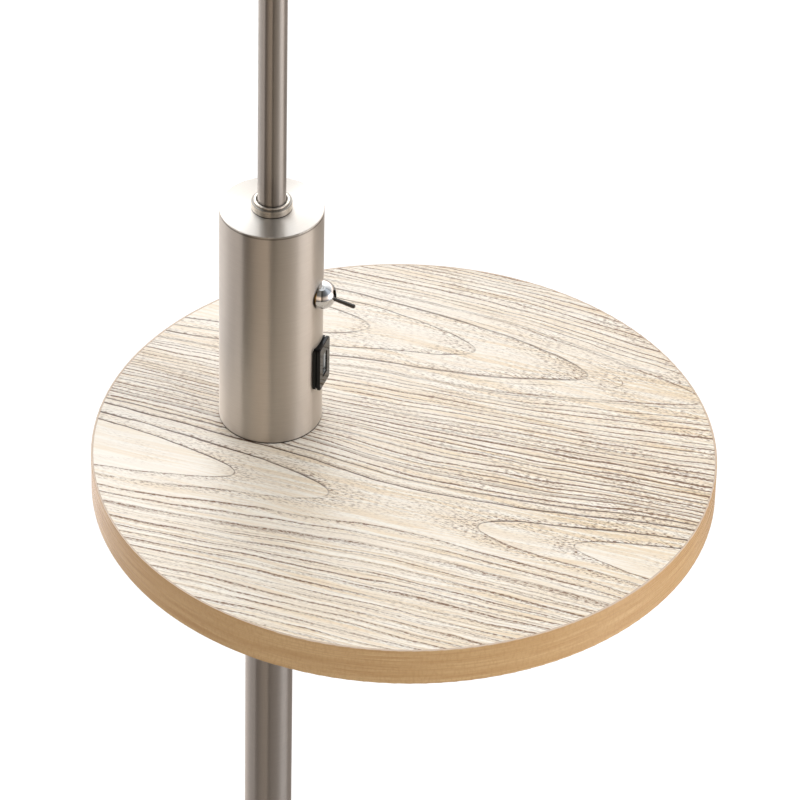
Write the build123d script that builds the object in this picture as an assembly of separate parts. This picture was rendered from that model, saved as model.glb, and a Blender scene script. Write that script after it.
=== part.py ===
from build123d import *
import os
from math import sqrt

# Shelf floor lamp. The origin is on the floor on the axis of the poles, and +Z is up.
# The tray's centre, the switch and the charging port all lie towards +X.
# All sizes are in millimetres.

# Whole lamp: heights from the floor
tray_top_height = 600.0
shade_top_height = 1500.0

# Fits, each on the radius or on one side
slip_fit = 0.05
pass_gap = 0.2
running_gap = 0.3

# Weighted foot
base_diameter = 260.0
base_rim_height = 20.0
base_rise = 8.0
cover_wall = 1.2
cover_shoulder_radius = 7.0
cover_floor_gap = 1.0
pad_thickness = 2.5
pad_inset = 6.0
weight_gap = 0.3
nut_pocket_diameter = 36.0
nut_pocket_depth = 9.5

# Hub at the foot of the lower pole
hub_diameter = 46.0
hub_height = 14.0
hub_edge_height = 3.0
hub_lip = 2.0
hub_rounding = 0.8
hub_seat_margin = 3.0

# Mains gland in the rim of the foot, on the side away from the tray
gland_height = 7.5
gland_bore = 6.0
gland_neck_wall = 1.2
gland_flange_diameter = 11.0
gland_flange_thickness = 1.4
lead_channel_margin = 1.0

# Threaded pipes, their nuts and washers
pipe_diameter = 10.0
pipe_bore = 6.6
pipe_engagement = 16.0
pipe_nut_flats = 15.0
pipe_nut_height = 4.5
pipe_washer_diameter = 20.0
pipe_washer_thickness = 1.6
pipe_tail = 1.5
stud_diameter = 8.0
stud_bore = 5.2
stud_engagement = 13.0
stud_nut_flats = 12.0
stud_nut_height = 3.5
stud_washer_diameter = 15.0
stud_washer_thickness = 1.0
stud_tail = 1.5

# Poles and the threaded inserts at their ends
lower_pole_diameter = 24.0
lower_pole_wall = 1.2
lower_insert_length = 18.0
upper_pole_diameter = 13.8
upper_pole_wall = 0.9
upper_insert_length = 15.0

# Round tray and the flange that carries it; the tray's turn is in degrees from the switch's side
tray_diameter = 305.0
tray_thickness = 20.3
tray_offset = 71.5
tray_turn = -4.3
tray_sheet_thickness = 0.8
edge_band_thickness = 1.0
edge_band_rounding = 0.4
flange_diameter = 80.0
flange_thickness = 3.0
flange_rounding = 0.8
screw_circle_diameter = 58.0
screw_count = 3
screw_head_diameter = 7.6
screw_head_height = 2.2
screw_shank_diameter = 3.8
screw_length = 14.0
screw_point_length = 3.0
screw_recess_span = 4.2
screw_recess_width = 0.9
screw_recess_depth = 1.3

# Housing for the switch and the charging port
housing_diameter = 50.6
housing_height = 124.1
housing_wall = 1.2
housing_top_thickness = 2.0
housing_edge_radius = 0.5
cross_bar_width = 16.0
cross_bar_thickness = 3.0
cross_bar_lift = 1.0
cross_bar_ear_height = 12.0
cross_bar_ear_thickness = 2.0

# Neck collar, a turned ring that the upper pole stands in
collar_diameter = 19.8
collar_height = 4.0
collar_lip_diameter = 17.4
collar_lip_height = 0.95
collar_recess_diameter = 15.4
collar_floor_thickness = 1.2
collar_chamfer = 0.3

# Toggle switch, its height measured from the tray's top
switch_height = 78.7
dome_diameter = 14.3
dome_skirt_height = 0.5
dome_wall = 1.3
dome_slot_width = 2.8
dome_slot_height = 8.0
bushing_wall = 1.6
bushing_length = 6.5
switch_nut_flats = 14.0
switch_nut_height = 2.4
switch_body_depth = 10.0
switch_body_width = 13.0
switch_body_height = 20.0
switch_body_rounding = 0.8
lug_pitch = 6.0
lug_count = 3
lug_length = 3.4
lug_width = 2.6
lug_thickness = 0.8
lever_reach = 17.5
lever_root_diameter = 1.6
lever_tip_diameter = 2.2
lever_tail_diameter = 2.2
lever_tail_length = 5.0
lever_tilt = 10.25

# Charging port, its height measured from the tray's top
port_height = 37.4
bezel_height = 24.8
bezel_width = 14.2
bezel_corner_radius = 1.6
bezel_flange_step = 0.3
bezel_groove_width = 0.8
bezel_groove_depth = 0.9
bezel_plate_thickness = 1.5
bezel_plate_chamfer = 0.35
bezel_body_height = 20.4
bezel_body_width = 8.6
bezel_body_corner_radius = 1.2
bezel_body_depth = 14.0
barb_height = 0.8
barb_length = 4.0
barb_width = 4.0
port_opening_height = 12.5
port_opening_width = 5.1
port_shell_wall = 0.35
port_shell_recess = 0.5
port_corner_radius = 0.6
tongue_height = 11.1
tongue_thickness = 1.85
tongue_side_gap = 0.75
tongue_recess = 1.2
port_core_depth = 3.4
port_contact_count = 4
port_contact_pitch = 2.4
port_contact_width = 1.1
port_contact_rise = 0.25
port_contact_end_gap = 0.6
board_height = 38.0
board_width = 18.0
board_thickness = 1.6
converter_depth = 10.0
converter_width = 19.0
converter_height = 46.0
converter_rounding = 1.5
converter_gap = 0.5

# Leads that the lamp holds inside
lamp_lead_diameter = 3.6
lamp_lead_bend = 4.0
port_lead_diameter = 2.2
port_lead_offset = 6.5

# Lamp socket, measured up from the top of the upper pole
socket_cup_diameter = 37.0
socket_cup_height = 22.0
socket_cup_wall = 1.0
socket_cup_rounding = 2.5
socket_hub_depth = 8.0
socket_shoulder_height = 32.0
socket_shoulder_diameter = 44.0
socket_shoulder_thickness = 2.4
socket_skirt_diameter = 38.8
socket_skirt_height = 30.0
socket_floor_thickness = 5.0
screw_shell_wall = 0.5
screw_shell_height = 22.0
screw_shell_lift = 1.5
contact_diameter = 9.0
contact_thickness = 1.2
ring_nut_diameter = 49.0
ring_nut_height = 8.0
ring_nut_notch_count = 16
ring_nut_notch_width = 2.4
ring_nut_notch_depth = 0.9

# Bulb
cap_diameter = 26.4
cap_height = 23.0
cap_tip_diameter = 10.0
cap_tip_height = 3.0
cap_gap = 0.25
bulb_diameter = 60.0
bulb_length = 110.0
bulb_waist_diameter = 28.0
bulb_body_height = 44.0
globe_wall = 1.2

# Drum shade and its wire frame
shade_diameter = 350.0
shade_height = 240.0
shade_sheet_thickness = 1.0
seam_width = 12.0
seam_thickness = 0.6
hem_height = 9.0
hem_thickness = 0.5
wire_diameter = 3.0
arm_count = 3
arm_wire_diameter = 2.8
arm_first_angle = 90.0
arm_level_run = 42.0
arm_bend = 24.0
fitter_rise = 45.0
fitter_bore_gap = 0.7
fitter_rim = 7.0
fitter_thickness = 1.6

# Sizes that follow from the ones above
base_top = base_rim_height + base_rise
base_radius = base_diameter / 2
lower_pole_radius = lower_pole_diameter / 2
upper_pole_radius = upper_pole_diameter / 2
pipe_radius = pipe_diameter / 2
stud_radius = stud_diameter / 2
hub_seat_radius = hub_diameter / 2 + hub_seat_margin
nut_pocket_top = pad_thickness + nut_pocket_depth
tray_bottom = tray_top_height - tray_thickness
tray_radius = tray_diameter / 2
board_radius = tray_radius - edge_band_thickness - slip_fit
flange_bottom = tray_bottom - flange_thickness
housing_radius = housing_diameter / 2
housing_inner_radius = housing_radius - housing_wall
housing_top = tray_top_height + housing_height
housing_ceiling = housing_top - housing_top_thickness
cross_bar_bottom = tray_top_height + cross_bar_lift
cross_bar_top = cross_bar_bottom + cross_bar_thickness
upper_pole_bottom = housing_top + collar_floor_thickness
switch_level = tray_top_height + switch_height
port_level = tray_top_height + port_height
dome_radius = dome_diameter / 2
dome_seat = housing_radius + slip_fit
pivot_reach = dome_seat + dome_skirt_height
bushing_radius = dome_radius - dome_wall - slip_fit
bushing_bore_radius = bushing_radius - bushing_wall
bushing_front = pivot_reach
bushing_back = bushing_front - bushing_length
switch_nut_radius = switch_nut_flats / sqrt(3)
switch_nut_front = sqrt(housing_inner_radius**2 - switch_nut_radius**2) - slip_fit
switch_body_front = min(bushing_back, switch_nut_front - switch_nut_height) - slip_fit
switch_body_back = switch_body_front - switch_body_depth
bezel_flange_face = housing_radius + bezel_flange_step
bezel_plate_back = bezel_flange_face + bezel_groove_width
bezel_face = bezel_plate_back + bezel_plate_thickness
port_shell_front = bezel_face - port_shell_recess
port_shell_back = bezel_face - bezel_body_depth
board_front = port_shell_back - slip_fit
board_back = board_front - board_thickness
converter_front = pipe_washer_diameter / 2 + converter_gap
converter_back = converter_front + converter_depth
shade_bottom = shade_top_height - shade_height
shade_radius = shade_diameter / 2
shade_inner_radius = shade_radius - shade_sheet_thickness
sheet_end_inset = hem_thickness + slip_fit
wire_radius = wire_diameter / 2
wire_ring_radius = shade_inner_radius - slip_fit - wire_radius
fitter_level = shade_bottom + fitter_rise
upper_pole_top = fitter_level - socket_shoulder_height
socket_skirt_radius = socket_skirt_diameter / 2
socket_floor = fitter_level + socket_floor_thickness
socket_skirt_top = fitter_level + socket_skirt_height
fitter_bore_radius = socket_skirt_radius + fitter_bore_gap
fitter_radius = fitter_bore_radius + fitter_rim
cap_radius = cap_diameter / 2
screw_shell_radius = cap_radius + cap_gap + screw_shell_wall
contact_top = socket_floor + contact_thickness
cap_top = contact_top + cap_tip_height + cap_height
bulb_top = contact_top + bulb_length
bulb_widest_level = cap_top + bulb_body_height

standing = (Align.CENTER, Align.CENTER, Align.MIN)


def disc(radius, bottom, top):
    """Cylinder about the lamp's axis between two heights."""
    return Pos(0, 0, bottom) * Cylinder(radius, top - bottom, align=standing)


def sleeve(outer_radius, inner_radius, bottom, top):
    """Hollow cylinder about the lamp's axis between two heights."""
    return disc(outer_radius, bottom, top) - disc(inner_radius, bottom, top)


def turned(*outline, rounding=None):
    """Solid of revolution from (radius, height) corners, each with its own rounding."""
    corners = [(radius, 0, height) for radius, height in outline]
    radii = rounding or [0] * len(corners)
    return revolve(make_face(FilletPolyline(*corners, radius=radii, close=True)), Axis.Z)


def domed(radius, bottom, spring):
    """Cylinder about the lamp's axis with a half sphere from the spring height up."""
    half_sphere = Pos(0, 0, spring) * Sphere(radius, arc_size1=0, align=standing)
    return disc(radius, bottom, spring) + half_sphere


def hex_nut(across_flats, bore_radius, bottom, height):
    """Hexagon nut about the lamp's axis."""
    blank = extrude(RegularPolygon(across_flats / 2, 6, major_radius=False), height)
    return Pos(0, 0, bottom) * blank - disc(bore_radius, bottom, bottom + height)


def facing_front(piece, level):
    """Turn a piece made along the lamp's axis so that it points to +X at a height."""
    return Pos(0, 0, level) * Rot(0, 90, 0) * piece


def bar_along_x(width, height, corner, back, front, level):
    """Bar of rounded rectangular section along X, centred at a height."""
    section_plane = Plane((back, 0, level), x_dir=(0, 1, 0), z_dir=(1, 0, 0))
    return extrude(section_plane * RectangleRounded(width, height, corner), front - back)


# Foot
def foot_body(wall, floor):
    """Solid inside the foot's outer form, drawn in by a wall and standing on a floor height."""
    side = base_radius - wall
    shoulder = base_rim_height - wall
    crown = base_top - wall
    return turned(
        (0, floor), (side, floor), (side, shoulder), (hub_seat_radius, crown), (0, crown),
        rounding=[0, 0, cover_shoulder_radius - wall, 0, 0],
    )


def base_cover():
    """Stamped cover, open below, with a hole for the pipe and one for the mains gland."""
    cover = foot_body(0, cover_floor_gap) - foot_body(cover_wall, 0)
    cover -= disc(pipe_radius + pass_gap, 0, base_top)
    neck_radius = gland_bore / 2 + gland_neck_wall
    drill = Cylinder(neck_radius + slip_fit, base_radius, align=standing)
    return cover - facing_front(drill, gland_height).rotate(Axis.Z, 180)


def base_weight():
    """Cast weight with a pocket for the lock nut and a channel for the mains lead."""
    weight = foot_body(cover_wall + weight_gap, pad_thickness)
    weight -= disc(pipe_radius + pass_gap, 0, base_top)
    weight -= disc(nut_pocket_diameter / 2, 0, nut_pocket_top)
    channel_half = gland_flange_diameter / 2 + lead_channel_margin
    channel = Box(base_radius, 2 * channel_half, gland_height + channel_half,
                  align=(Align.MAX, Align.CENTER, Align.MIN))
    return weight - channel


def base_pad():
    """Non-slip pad that the foot stands on."""
    return disc(base_radius - pad_inset, 0, pad_thickness)


def mains_gland():
    """Rubber grommet in the rim, flanged outside and inside."""
    bore_radius = gland_bore / 2
    flange_radius = gland_flange_diameter / 2
    neck_radius = bore_radius + gland_neck_wall
    outer_seat = base_radius + slip_fit
    inner_wall = base_radius - cover_wall
    inner_seat = sqrt(inner_wall**2 - flange_radius**2) - slip_fit
    gland = turned(
        (bore_radius, inner_seat - gland_flange_thickness),
        (flange_radius, inner_seat - gland_flange_thickness),
        (flange_radius, inner_seat),
        (neck_radius, inner_seat),
        (neck_radius, outer_seat),
        (flange_radius, outer_seat),
        (flange_radius, outer_seat + gland_flange_thickness),
        (bore_radius, outer_seat + gland_flange_thickness),
        rounding=[0, 0, 0, 0, 0, 0, gland_flange_thickness / 2, 0],
    )
    return facing_front(gland, gland_height).rotate(Axis.Z, 180)


def base_hub():
    """Turned collar round the foot of the lower pole."""
    inner = lower_pole_radius + slip_fit
    lip = lower_pole_radius + hub_lip
    edge = base_top + hub_edge_height
    return turned(
        (inner, base_top), (hub_diameter / 2, base_top), (hub_diameter / 2, edge),
        (lip, base_top + hub_height), (inner, base_top + hub_height),
        rounding=[0, 0, hub_rounding, hub_rounding, 0],
    )


# Threaded pipes, with their nuts and washers
base_washer_bottom = nut_pocket_top - pipe_washer_thickness
base_nut_bottom = base_washer_bottom - pipe_nut_height
tray_nut_bottom = cross_bar_top + pipe_washer_thickness
neck_washer_bottom = housing_ceiling - stud_washer_thickness
neck_nut_bottom = neck_washer_bottom - stud_nut_height


def pipe(bottom, top):
    """Threaded pipe of the lower joints."""
    return sleeve(pipe_radius, pipe_bore / 2, bottom, top)


def stud(bottom, top):
    """Thinner threaded pipe of the upper joints."""
    return sleeve(stud_radius, stud_bore / 2, bottom, top)


def pipe_washer(bottom):
    """Flat washer on a threaded pipe."""
    washer_radius = pipe_washer_diameter / 2
    return sleeve(washer_radius, pipe_radius + slip_fit, bottom, bottom + pipe_washer_thickness)


# Poles
def pole(radius, wall, bottom, top):
    """Straight tube."""
    return sleeve(radius, radius - wall, bottom, top)


def pole_insert(pole_radius, wall, thread_radius, bottom, length):
    """Threaded insert fixed inside the end of a pole."""
    return sleeve(pole_radius - wall - slip_fit, thread_radius + slip_fit, bottom, bottom + length)


# Tray
def wood_screw(extra):
    """Countersunk screw pointing up from the flange's underside, grown by an extra radius."""
    head = screw_head_diameter / 2 + extra
    shank = screw_shank_diameter / 2 + extra
    return turned(
        (0, 0), (head, 0), (shank, screw_head_height),
        (shank, screw_length - screw_point_length), (0, screw_length + extra),
    )


def at_screws(piece):
    """Copies of a piece at each screw of the flange."""
    places = PolarLocations(screw_circle_diameter / 2, screw_count, start_angle=180)
    return [Pos(0, 0, flange_bottom) * place * piece for place in places]


def tray_flange():
    """Steel disc between the lower pole and the tray."""
    flange_radius = flange_diameter / 2
    flange = turned(
        (pipe_radius + pass_gap, flange_bottom), (flange_radius, flange_bottom),
        (flange_radius, tray_bottom), (pipe_radius + pass_gap, tray_bottom),
        rounding=[0, flange_rounding, 0, 0],
    )
    for hole in at_screws(wood_screw(slip_fit)):
        flange -= hole
    return flange


def at_tray_centre(piece):
    """Piece moved from the poles' axis to the tray's centre."""
    return Rot(0, 0, tray_turn) * Pos(tray_offset, 0, 0) * piece


def tray_layer(bottom, top):
    """Round layer of the tray with the pipe's hole and the screws' pilot holes."""
    layer = at_tray_centre(disc(board_radius, bottom, top))
    layer -= disc(pipe_radius + pass_gap, bottom, top)
    for hole in at_screws(wood_screw(slip_fit)):
        layer -= hole
    return layer


def tray_edge_band():
    """Band glued round the tray's edge, with its outer corners eased."""
    inner = tray_radius - edge_band_thickness
    band = turned(
        (inner, tray_bottom), (tray_radius, tray_bottom),
        (tray_radius, tray_top_height), (inner, tray_top_height),
        rounding=[0, edge_band_rounding, edge_band_rounding, 0],
    )
    return at_tray_centre(band)


# Housing
def housing_shell():
    """Drawn cup, open below, with the switch hole and the port's cut-out."""
    shell = turned(
        (0, tray_top_height), (housing_radius, tray_top_height),
        (housing_radius, housing_top), (0, housing_top),
        rounding=[0, 0, housing_edge_radius, 0],
    )
    shell -= disc(housing_inner_radius, tray_top_height, housing_ceiling)
    shell -= disc(stud_radius + pass_gap, housing_ceiling, housing_top)
    switch_drill = Cylinder(bushing_radius + slip_fit, housing_diameter, align=standing)
    shell -= facing_front(switch_drill, switch_level)
    return shell - bar_along_x(
        bezel_body_width + 2 * pass_gap, bezel_body_height + 2 * pass_gap,
        bezel_body_corner_radius, 0, housing_diameter, port_level,
    )


def housing_cross_bar():
    """Strap across the housing's mouth, with ears that are welded to the wall."""
    outer = housing_inner_radius - slip_fit
    strap = Box(cross_bar_width, housing_diameter, cross_bar_ear_height, align=standing)
    strap = Pos(0, 0, cross_bar_bottom) * strap
    ear_top = cross_bar_bottom + cross_bar_ear_height
    cup = disc(outer, cross_bar_bottom, ear_top)
    cup -= disc(outer - cross_bar_ear_thickness, cross_bar_top, ear_top)
    return (cup & strap) - disc(pipe_radius + slip_fit, cross_bar_bottom, cross_bar_top)


def neck_collar():
    """Turned ring with a raised lip, recessed for the upper pole."""
    hole = stud_radius + pass_gap
    recess = collar_recess_diameter / 2
    lip = collar_lip_diameter / 2
    outer = collar_diameter / 2
    shoulder = housing_top + collar_height
    lip_top = shoulder + collar_lip_height
    return turned(
        (hole, housing_top), (outer, housing_top), (outer, shoulder), (lip, shoulder),
        (lip, lip_top), (recess, lip_top), (recess, upper_pole_bottom), (hole, upper_pole_bottom),
        rounding=[0, 0, collar_chamfer, 0, collar_chamfer, 0, 0, 0],
    )


# Switch
def switch_dome():
    """Chromed dome nut with an upright slot for the lever."""
    inner_radius = dome_radius - dome_wall
    shell = domed(dome_radius, dome_seat, pivot_reach) - domed(inner_radius, dome_seat, pivot_reach)
    slot = bar_along_x(
        dome_slot_width, dome_slot_height, dome_slot_width / 2 - slip_fit,
        pivot_reach, pivot_reach + dome_diameter, switch_level,
    )
    return facing_front(shell, switch_level) - slot


def switch_bushing():
    """Threaded bushing that passes through the housing's wall."""
    tube = sleeve(bushing_radius, bushing_bore_radius, bushing_back, bushing_front)
    return facing_front(tube, switch_level)


def switch_nut():
    """Lock nut on the bushing, inside the housing's wall."""
    bottom = switch_nut_front - switch_nut_height
    nut = hex_nut(switch_nut_flats, bushing_radius + slip_fit, bottom, switch_nut_height)
    return facing_front(nut, switch_level)


def switch_body():
    """Moulded body of the switch."""
    return bar_along_x(
        switch_body_width, switch_body_height, switch_body_rounding,
        switch_body_back, switch_body_front, switch_level,
    )


def switch_lugs():
    """Solder lugs in a row on the back of the switch."""
    lug = Box(lug_length, lug_width, lug_thickness, align=(Align.MAX, Align.CENTER, Align.CENTER))
    middle = (lug_count - 1) / 2
    levels = [switch_level + (index - middle) * lug_pitch for index in range(lug_count)]
    return Compound(children=[Pos(switch_body_back, 0, level) * lug for level in levels])


def switch_lever():
    """Bat lever on a ball, tilted down as the switch rests."""
    tip_radius = lever_tip_diameter / 2
    ball = Sphere(bushing_bore_radius - running_gap)
    bat = Cone(lever_root_diameter / 2, tip_radius, lever_reach - tip_radius, align=standing)
    tip = Pos(0, 0, lever_reach - tip_radius) * Sphere(tip_radius)
    tail = Pos(0, 0, -lever_tail_length) * Cylinder(
        lever_tail_diameter / 2, lever_tail_length, align=standing)
    return Pos(pivot_reach, 0, switch_level) * Rot(0, 90 + lever_tilt, 0) * (ball + bat + tip + tail)


# Charging port
port_shell_height = port_opening_height + 2 * port_shell_wall
port_shell_width = port_opening_width + 2 * port_shell_wall


def port_bezel():
    """Bezel that snaps into the housing's wall, with a groove between its flange and its plate."""
    flange = bar_along_x(
        bezel_width, bezel_height, bezel_corner_radius, 0, bezel_flange_face, port_level)
    plate = bar_along_x(
        bezel_width, bezel_height, bezel_corner_radius, bezel_plate_back, bezel_face, port_level)
    plate = chamfer(plate.faces().sort_by(Axis.X)[-1].edges(), bezel_plate_chamfer)
    core = bar_along_x(
        bezel_width - 2 * bezel_groove_depth, bezel_height - 2 * bezel_groove_depth,
        bezel_corner_radius - bezel_groove_depth, 0, bezel_plate_back, port_level,
    )
    cap = flange + core + plate - disc(housing_radius + slip_fit, 0, housing_top)
    body = bar_along_x(
        bezel_body_width, bezel_body_height, bezel_body_corner_radius,
        port_shell_back, bezel_plate_back, port_level,
    )
    catch = sqrt(housing_inner_radius**2 - (barb_width / 2) ** 2) - pass_gap
    side = bezel_body_height / 2
    outline = Polyline((catch - barb_length, side - barb_height), (catch, side + barb_height),
                       (catch, side - barb_height), close=True)
    barb = extrude(Plane.XZ * make_face(outline), barb_width / 2, both=True)
    barbs = Pos(0, 0, port_level) * (barb + mirror(barb, Plane.XY))
    window = bar_along_x(
        port_shell_width + 2 * slip_fit, port_shell_height + 2 * slip_fit, port_corner_radius,
        port_shell_back, bezel_face, port_level,
    )
    return cap + body + barbs - window


def port_shell():
    """Folded metal shell of the port."""
    outer = bar_along_x(
        port_shell_width, port_shell_height, port_corner_radius,
        port_shell_back, port_shell_front, port_level)
    inner = bar_along_x(
        port_opening_width, port_opening_height, port_corner_radius - port_shell_wall,
        port_shell_back, port_shell_front, port_level)
    return outer - inner


def port_tongue():
    """Plastic core at the back of the port, with the tongue that carries the contacts."""
    core = bar_along_x(
        port_opening_width - 2 * slip_fit, port_opening_height - 2 * slip_fit,
        port_corner_radius - port_shell_wall, port_shell_back,
        port_shell_back + port_core_depth, port_level)
    side = port_opening_width / 2 - tongue_side_gap
    length = port_shell_front - tongue_recess - port_shell_back
    tongue = Box(length, tongue_thickness, tongue_height,
                 align=(Align.MIN, Align.MAX, Align.CENTER))
    return core + Pos(port_shell_back, side, port_level) * tongue


def port_contacts():
    """Sprung contacts in a row along the tongue's face."""
    face = port_opening_width / 2 - tongue_side_gap - tongue_thickness
    start = port_shell_back + port_core_depth
    length = port_shell_front - tongue_recess - port_contact_end_gap - start
    contact = Box(length, port_contact_rise, port_contact_width,
                  align=(Align.MIN, Align.MAX, Align.CENTER))
    middle = (port_contact_count - 1) / 2
    levels = [port_level + (index - middle) * port_contact_pitch for index in range(port_contact_count)]
    return Compound(children=[Pos(start, face, level) * contact for level in levels])


def port_board():
    """Circuit board behind the port."""
    board = Box(board_thickness, board_width, board_height,
                align=(Align.MAX, Align.CENTER, Align.CENTER))
    return Pos(board_front, 0, port_level) * board


def converter_block():
    """Potted converter that stands on the tray behind the pole joint."""
    block = Box(converter_depth, converter_width, converter_height,
                align=(Align.MIN, Align.CENTER, Align.MIN))
    block = fillet(block.edges().filter_by(Axis.Z), converter_rounding)
    return Pos(-converter_back, 0, tray_top_height) * block


def port_lead():
    """Lead from the converter to the port's board."""
    length = converter_front + board_back
    lead = Cylinder(port_lead_diameter / 2, length, align=standing)
    return Pos(-converter_front, port_lead_offset, port_level) * Rot(0, 90, 0) * lead


def lamp_lead():
    """Lead from the switch's lugs, up the pole, to the socket's contact."""
    start = switch_body_back - lug_length
    path = FilletPolyline(
        (start, 0, switch_level), (0, 0, switch_level), (0, 0, socket_floor),
        radius=[lamp_lead_bend])
    section = Plane((start, 0, switch_level), z_dir=(-1, 0, 0)) * Circle(lamp_lead_diameter / 2)
    return sweep(section, path=path)


# Lamp socket
def socket_cup():
    """Drawn cup that hides the wiring end of the socket."""
    outer = socket_cup_diameter / 2
    inner = outer - socket_cup_wall
    top = upper_pole_top + socket_cup_height
    floor = upper_pole_top + socket_cup_wall
    hole = stud_radius + pass_gap
    return turned(
        (hole, upper_pole_top), (outer, upper_pole_top), (outer, top), (inner, top),
        (inner, floor), (hole, floor),
        rounding=[0, socket_cup_rounding, 0, 0, socket_cup_rounding - socket_cup_wall, 0],
    )


def socket_body():
    """Moulded body with the shoulder and the threaded skirt that clamp the shade."""
    bottom = upper_pole_top + socket_cup_wall
    hub_top = bottom + socket_hub_depth
    waist = socket_cup_diameter / 2 - socket_cup_wall - slip_fit
    shoulder = socket_shoulder_diameter / 2
    cup_rim = upper_pole_top + socket_cup_height
    cavity = screw_shell_radius + slip_fit
    thread = stud_radius + slip_fit
    lead_hole = lamp_lead_diameter / 2 + pass_gap
    return turned(
        (thread, bottom), (waist, bottom), (waist, cup_rim),
        (shoulder, fitter_level - socket_shoulder_thickness), (shoulder, fitter_level),
        (socket_skirt_radius, fitter_level), (socket_skirt_radius, socket_skirt_top),
        (cavity, socket_skirt_top), (cavity, socket_floor),
        (lead_hole, socket_floor), (lead_hole, hub_top), (thread, hub_top),
        rounding=[0, socket_cup_rounding - socket_cup_wall / 2, 0, 0, 0, 0, 0, 0, 0, 0, 0, 0],
    )


def screw_shell():
    """Metal shell that the bulb's cap turns into."""
    bottom = socket_floor + screw_shell_lift
    inner = screw_shell_radius - screw_shell_wall
    return sleeve(screw_shell_radius, inner, bottom, bottom + screw_shell_height)


def socket_contact():
    """Centre contact on the socket's floor."""
    return disc(contact_diameter / 2, socket_floor, contact_top)


def ring_nut():
    """Notched ring that clamps the shade's fitter on the socket's shoulder."""
    bottom = fitter_level + fitter_thickness
    outer = ring_nut_diameter / 2
    nut = sleeve(outer, socket_skirt_radius + slip_fit, bottom, bottom + ring_nut_height)
    notch = Cylinder(ring_nut_notch_width / 2, ring_nut_height, align=standing)
    axis_radius = outer + ring_nut_notch_width / 2 - ring_nut_notch_depth
    for place in PolarLocations(axis_radius, ring_nut_notch_count):
        nut -= Pos(0, 0, bottom) * place * notch
    return nut


# Bulb
def bulb_cap():
    """Screw cap with its contact tip."""
    tip = cap_tip_diameter / 2
    shoulder = contact_top + cap_tip_height
    return turned((0, contact_top), (tip, contact_top), (cap_radius, shoulder),
                  (cap_radius, cap_top), (0, cap_top))


def bulb_body():
    """Moulded body that flares from the cap to the globe."""
    waist = bulb_waist_diameter / 2
    widest = bulb_diameter / 2
    face = make_face([
        Line((0, 0, cap_top), (waist, 0, cap_top)),
        Spline((waist, 0, cap_top), (widest, 0, bulb_widest_level),
               tangents=[(0, 0, 1), (0, 0, 1)]),
        Line((widest, 0, bulb_widest_level), (0, 0, bulb_widest_level)),
        Line((0, 0, bulb_widest_level), (0, 0, cap_top)),
    ])
    return revolve(face, Axis.Z)


def bulb_globe():
    """Frosted globe, a hollow dome on the body's rim."""
    outer = bulb_diameter / 2
    spring = bulb_top - outer
    inner = outer - globe_wall
    return domed(outer, bulb_widest_level, spring) - domed(inner, bulb_widest_level, spring)


# Shade
sheet_bottom = shade_bottom + sheet_end_inset
sheet_top = shade_top_height - sheet_end_inset
lower_wire_level = sheet_bottom + wire_radius
upper_wire_level = sheet_top - wire_radius


def shade_drum():
    """Laminated linen sheet rolled to a drum, with its lap seam at the back."""
    drum = sleeve(shade_radius, shade_inner_radius, sheet_bottom, sheet_top)
    lap_outer = shade_radius + seam_thickness
    seam_bottom = shade_bottom + hem_height + slip_fit
    seam_top = shade_top_height - hem_height - slip_fit
    lap = sleeve(lap_outer, shade_inner_radius, seam_bottom, seam_top)
    strip = Box(shade_diameter, seam_width, shade_height,
                align=(Align.MAX, Align.CENTER, Align.MIN))
    return drum + (lap & Pos(0, 0, shade_bottom) * strip)


def shade_top_ring():
    """Wire ring that keeps the drum's upper end round."""
    return Pos(0, 0, upper_wire_level) * Torus(wire_ring_radius, wire_radius)


def shade_top_hem():
    """Tape folded over the upper end of the drum and its wire ring."""
    outer_leg = shade_radius + slip_fit
    outside = outer_leg + hem_thickness
    inner_leg = wire_ring_radius - wire_radius - slip_fit
    inside = inner_leg - hem_thickness
    fold = shade_top_height - hem_thickness
    return turned(
        (outer_leg, shade_top_height - hem_height), (outside, shade_top_height - hem_height),
        (outside, shade_top_height), (inside, shade_top_height),
        (inside, upper_wire_level + wire_radius / 2), (inner_leg, upper_wire_level + wire_radius / 2),
        (inner_leg, fold), (outer_leg, fold),
    )


def shade_bottom_hem():
    """Like tape on the lower end."""
    return Pos(0, 0, shade_top_height + shade_bottom) * mirror(shade_top_hem(), Plane.XY)


def shade_spider():
    """Lower wire ring, three arms and the fitter ring, welded together."""
    frame = Pos(0, 0, lower_wire_level) * Torus(wire_ring_radius, wire_radius)
    frame += sleeve(fitter_radius, fitter_bore_radius, fitter_level, fitter_level + fitter_thickness)
    arm_radius = arm_wire_diameter / 2
    weld = fitter_radius - arm_radius
    arm_level = fitter_level + fitter_thickness / 2
    foot_level = lower_wire_level + wire_radius
    path = FilletPolyline(
        (weld, 0, arm_level), (fitter_radius + arm_level_run, 0, arm_level),
        (wire_ring_radius, 0, foot_level), radius=[arm_bend])
    section = Plane((weld, 0, arm_level), z_dir=(1, 0, 0)) * Circle(arm_radius)
    arm = sweep(section, path=path)
    for index in range(arm_count):
        frame += arm.rotate(Axis.Z, arm_first_angle + index * 360 / arm_count)
    return frame


def wood_screws():
    """The flange's screws, each with a cross recess in its head."""
    bar = Box(screw_recess_span, screw_recess_width, screw_recess_depth, align=standing)
    screw = wood_screw(0) - bar - Rot(0, 0, 90) * bar
    return Compound(children=at_screws(screw))


lower_pole_top = flange_bottom
lower_pole_insert = (lower_pole_radius, lower_pole_wall, pipe_radius)
upper_pole_insert = (upper_pole_radius, upper_pole_wall, stud_radius)
pipe_thread = pipe_radius + slip_fit
stud_thread = stud_radius + slip_fit
tray_sheet_bottom = tray_top_height - tray_sheet_thickness
under_sheet_top = tray_bottom + tray_sheet_thickness

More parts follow.
